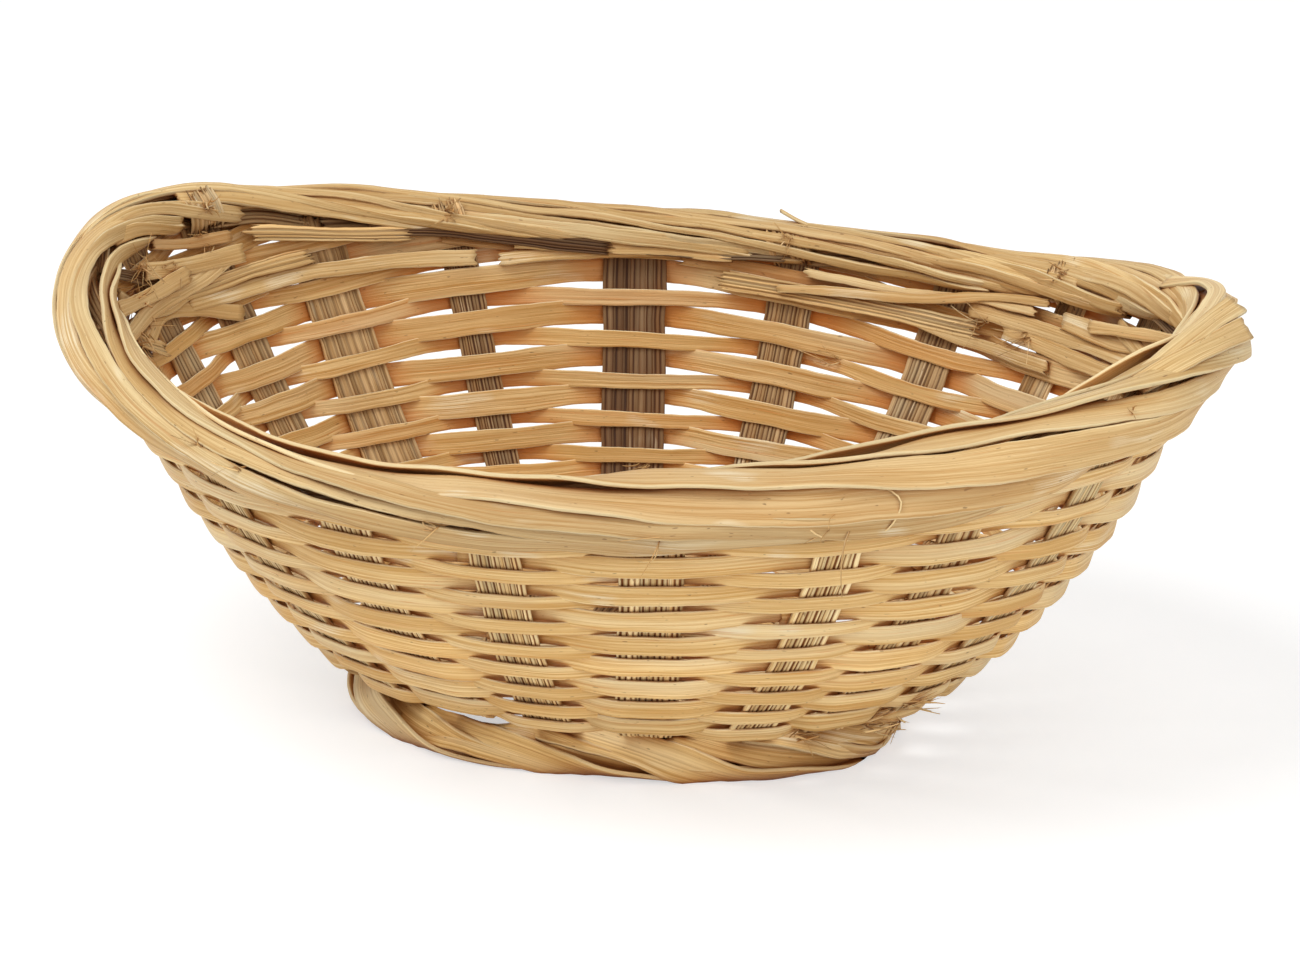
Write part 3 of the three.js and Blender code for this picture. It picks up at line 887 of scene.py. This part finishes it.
# Each end: its places, width in mm, and its tone if it has one
cut_ends = [
    # Three wide ends at the right, two of which stand off like fingers
    ([(-24, 84, -1.6), (-17.5, 79, 0.6), (-12.5, 78, 1.5), (-5.9, 74, 2), (0, 62, 3.5)], 4.6),
    ([(-25, 66, -1.6), (-19.3, 60, 0.6), (-15.5, 56, 1.3), (-10, 48, 1.8), (-3.2, 36, 3)], 4.4),
    ([(26.5, 117, 0.4), (22, 104, 0.9), (18.5, 92, 1.3), (11.2, 88, 1.7), (2, 96, 1.4),
      (-5, 101, 1), (-11, 99, 0.5)], 3.6, 0.05),
    # Four along the far side
    ([(162, 108, -.8), (153, 128, 0), (144, 146, .2), (134, 162, .2), (124, 176, -.4)], 3.4),
    ([(150, 118, -1), (140, 136, -.3), (129, 154, 0), (118, 170, .1), (108, 182, -.4)], 3.2),
    ([(122, 150, -0.8), (112, 162, -0.1), (101, 172, 0.2), (88, 180, -0.5)], 3.0, -0.05),
    ([(72, 112, -0.8), (62, 130, 0), (52, 148, 0.2), (44, 160, -0.4)], 3.4, 0.03),
    # A splinter that stands up behind, and two hairs that hang out in front
    ([(79, 95, -0.4), (81, 94, 0.4), (83, 94, 1.6), (85, 94, 3.4)], 0.9),
    ([(295, 5, -0.2), (297, -30, 1.2), (300, -62, 1.4), (305, -85, 0.6)], 0.35, 0.1),
    ([(302, 40, -0.2), (305, 0, 1.2), (304, -40, 1.6), (301, -75, 1.0)], 0.35, 0.1),
]
piece("border_cut_ends", [laid_on_border(*end) for end in cut_ends], border_bamboo)
print("cut ends outside:", len(cut_ends))


# %% Torn fibres
def torn_fibres(place, way, count, length, spread, thin=0.22):
    """Short fibres that come out of one place, in mm, and curl away from each other."""
    fibres = []
    section = (np.array([-1.0, 0.0, 1.0]), np.array([0.6, 1.0, 0.6]), np.zeros(3), np.zeros(3), np.zeros(3))
    for _ in range(count):
        start = place + chance.normal(0, 0.25, 3) * spread * length
        heading = unit(way + chance.normal(0, spread, 3))
        curl = chance.normal(0, 0.5, 3)
        reach = length * chance.uniform(0.5, 1.2)
        t = np.linspace(0, 1, 7)[:, None]
        at = start + heading * t * reach + curl * t**2 * reach * spread
        side = unit(np.cross(heading, chance.normal(0, 1, 3)))
        width = thin * chance.uniform(0.6, 2.0) * (1 - 0.6 * t[:, 0])
        tone = chance.normal(0, 0.1)
        fibres.append(strip(at, np.tile(side, (7, 1)), width, 0.14, section, tone=tone, warmth=0.1))
    return fibres


def border_place(angle, turn, rides):
    """A point so many mm off the border, and the way off it."""
    angle, turn = np.array([float(angle)]), np.array([float(turn)])
    at, face = laid_strand(border_line, angle, turn, border_radius(angle) + rides)
    return at[0], face[0]


def wall_place(angle, level, inwards):
    """A point so many mm inside the wall, and the way inwards."""
    angle = np.array([float(angle)])
    at, out = wall_point(angle, level), wall_frame(angle, level)[2]
    return at[0] - out[0] * inwards, -out[0]


def way_round_at(angle):
    return round_and_out(border_line, np.array([float(angle)]))[0][0]


def upright_tip(i, turn):
    """The tips of an upright's splints, where they come out between two border strips."""
    angle = real_angle(i)
    angles, turns = angle + np.array([0, 0.3, 0.6, 1.0]), turn + np.array([55.0, 30, 5, -20])
    radius = border_radius(angle) + np.array([-1.0, -0.5, 0, 0.5])
    at, face = laid_strand(border_line, angles, turns, radius)
    at, face = resample(at, 1.2, face)
    comb = strip(at, face, upright_width[i] * 0.9, 0.6, comb_section(9), splinter=0.9, tone=0.05)
    place, way = border_place(angle + 0.5, turn, 0.4)
    return comb, torn_fibres(place, way - up, 16, 2.4, 1.0, thin=0.3)


tips = [upright_tip(i, turn) for i, turn in ((8, 146), (6, 146), (4, 142), (2, 142))]
piece("upright_tips", [comb for comb, _ in tips], stake_bamboo)

# Inside the wall: angle, level, mm inwards, how many fibres, and their length in mm
fibres_inside = [(57, .91, 4, 10, 5), (50, .89, 4, 10, 5), (76, .74, 1.5, 8, 4), (99, .40, 1.5, 8, 4),
                 (186, .93, 5, 24, 6), (192, .88, 4, 20, 6), (178, .96, 6, 18, 6), (170, .93, 5, 14, 5),
                 (183, .86, 3, 12, 5), (27, .90, 4, 8, 5), (160, .97, 5, 10, 6)]
# On the border: angle, turn, how many fibres, and their length in mm
fibres_on_border = [(283, -20, 3, 8), (300, -30, 4, 9), (262, -25, 4, 4), (241, 15, 5, 4),
                    (235, 20, 5, 3), (332, 20, 4, 5), (352, 50, 5, 3)]
fibres = [fibre for _, bundle in tips for fibre in bundle]
for angle, level, inwards, count, length in fibres_inside:
    place, way = wall_place(angle, level, inwards)
    fibres += torn_fibres(place, way * 0.4 + way_round_at(angle), count, length, 0.7)
for angle, turn, count, length in fibres_on_border:
    place, way = border_place(angle, turn, 0.4)
    fibres += torn_fibres(place, way * 0.3 - way_round_at(angle), count, length, 0.6)
piece("torn_fibres", fibres, border_bamboo)
print("torn fibres:", len(fibres))

# %% [markdown]
# ## Foot ring
# The foot is laid the same way as the border, from ten pairs of wider strips. One strip of a pair
# lies a little behind and inside the other. A plain ring would stand on the table just as well,
# but the real one is uneven, so its line and its height vary.

# %% Foot strands
foot_radius = 4.25


def foot_line(angle):
    """The oval of the CAD ring, which bulges a little at the near left, the near right and the
    right end."""
    reach = foot_radius + 0.4
    bulge_right = 3 * bump_at(angle, 335, 20)
    bulge_near = 2.4 * bump_at(angle, 228, 34) + 2 * bump_at(angle, 312, 16)
    ring = oval(angle, foot_half_length - reach, foot_half_width - reach, foot_shift, reach)
    return ring + stack(bulge_right, -bulge_near, 0)


# A strip comes over the top, drops down the outside, lies along the bottom corner and goes under
foot_run = [0, 25, 45, 68, 100, 142]
foot_turn = [95, 5, -45, -65, -170, -262]


def foot_strand(i, behind=0.0, inside=0.0, width=7.2):
    """Strip i of the ring, or its partner some degrees behind it and some mm inside it."""
    run = np.linspace(0, foot_run[-1], 110)
    # The ninth strip lies further round than its even place
    angle = i * 36 + 10 + (10 if i == 8 else 0) - behind + run
    smooth_turn = sum(np.interp(run + away, foot_run, foot_turn) for away in (-8, -4, 0, 4, 8)) / 5
    turn = smooth_turn + wander(run, 90, 5)
    # The strips are stiff, so the ring has a corner at the bottom
    corner = 1 + 0.13 * np.exp(-((turn + 50) / 30) ** 2)
    radius = foot_radius * corner + 0.2 + wander(run, 60, 0.25) + (0.3 if i % 2 else 0) - inside
    at, face = laid_strand(foot_line, angle, turn, radius, tilt=wander(run, 60, 10))
    # At the near left the ring has come away from the wall, and light shows between them
    above = np.clip((at[:, 2] - foot_radius) / foot_radius, 0, 1)
    inner = np.clip((-110 - turn) / 40, 0, 1)
    lowered = bump_at(angle, 236, 24) * np.maximum(0.55 * above, 0.9 * inner)
    at[:, 2] = lerp(at[:, 2], 1.2, lowered)
    at, face = resample(at, 1.4, face)
    width = width + chance.normal(0, 0.4) + wander(along_path(at), 60, 0.7)
    made_strip = strip(at, face, width, 0.9, crown=0.2, ragged=0.15, tone=chance.normal(0, 0.05))
    # Nothing goes through the table
    made_strip["points"][:, 2] = np.maximum(made_strip["points"][:, 2], 0.02)
    return made_strip


for i in range(10):
    pair = [foot_strand(i), foot_strand(i, behind=17, inside=1.1, width=6.0)]
    piece(f"foot_strip_{i + 1:02d}", pair, foot_bamboo, [f"foot_strand_{i + 1:02d}"])
print("foot: 10 pairs of strips")

# %% [markdown]
# ## Frayed weavers
# The lowest weavers are torn where they bend round the near right corner. The same short fibres
# as inside the rim do for that, laid along the wall instead of away from it.

# %% Fibres at the lowest rows
# Angle, level, which way round they point, how many, and their length in mm
frayed_places = [(311, .0, 1, 14, 5), (324, .03, 1, 16, 7), (336, .0, -1, 16, 7), (330, .10, 1, 12, 6)]
frayed = []
for angle, level, turned, count, length in frayed_places:
    place, inwards = wall_place(angle, level, -2.2)
    way = way_round_at(angle) * turned - inwards * 0.3
    frayed += torn_fibres(place, way, count, length, 0.35, thin=0.3)
piece("frayed_weavers", frayed, border_bamboo)
print("frayed:", len(frayed), "fibres")

# %% [markdown]
# ## Table and light
# The basket stands on a plain white table in soft light from all round. Two broad lamps, one
# above and one in front, give the strips a top side and an under side. A table that is only white
# would look grey next to the white room, so the camera sees it glow a little. That keeps the
# shadow, and the basket is lit only by what a white table really throws back.

# %% Floor, lamps and world
floor_material = bpy.data.materials.new("matt white table")
floor_material.use_nodes = True
floor_tree = floor_material.node_tree
floor_shader = floor_tree.nodes["Principled BSDF"]
for label, value in (("Roughness", 0.9), ("Specular IOR Level", 0.1), ("Emission Color", (1, 1, 1, 1))):
    floor_shader.inputs[label].default_value = value
# The camera sees a greyer table that glows, and all other rays meet a plain white one
floor_seen = add(floor_tree, "LightPath")["Is Camera Ray"]
floor_lift = add(floor_tree, "Math", [floor_seen, 0.55], **times)[0]
floor_grey = add(floor_tree, "ValToRGB", [floor_seen], stops={0: "#f6f6f6", 1: "#c4c4c4"})[0]
floor_tree.links.new(floor_lift, floor_shader.inputs["Emission Strength"])
floor_tree.links.new(floor_grey, floor_shader.inputs["Base Color"])
bpy.ops.mesh.primitive_plane_add(size=12)
floor = bpy.context.object
floor.name = "table"
floor.data.materials.append(floor_material)

world = bpy.data.worlds.new("white room")
bpy.context.scene.world = world
world.use_nodes = True
room = world.node_tree
room.nodes.clear()
ray = add(room, "LightPath")
# The room is white where it is seen, and dimmer as a light
seen = ray["Is Camera Ray"]
for kind in ("Is Glossy Ray", "Is Transmission Ray"):
    seen = add(room, "Math", [seen, ray[kind]], operation="MAXIMUM")[0]
strength = add(room, "MapRange", {"Value": seen, "To Min": 0.62, "To Max": 1.0})[0]
sky = add(room, "Background", {"Color": "#ffffff", "Strength": strength})[0]
add(room, "OutputWorld", [sky])


def lamp(name, place, size, watts):
    """A round area lamp that shines on the middle of the basket."""
    data = bpy.data.lights.new(name, "AREA")
    data.shape, data.size, data.energy = "DISK", size, watts
    aimed(name, data, Vector(place), Vector((0, 0, 0.05)))


lamp("lamp above", (-0.5, -0.7, 1.5), 0.9, 14)
lamp("lamp front", (0.9, -1.3, 0.8), 0.8, 6)

# %% [markdown]
# ## Pieces and faces
# The basket is thin, uneven cane, so its strips may leave the box of the CAD model by a few
# millimetres. The pieces made and their faces are counted here.

# %% Pieces and faces
print("pieces", len(made), "faces", sum(len(o.data.polygons) for o in made))
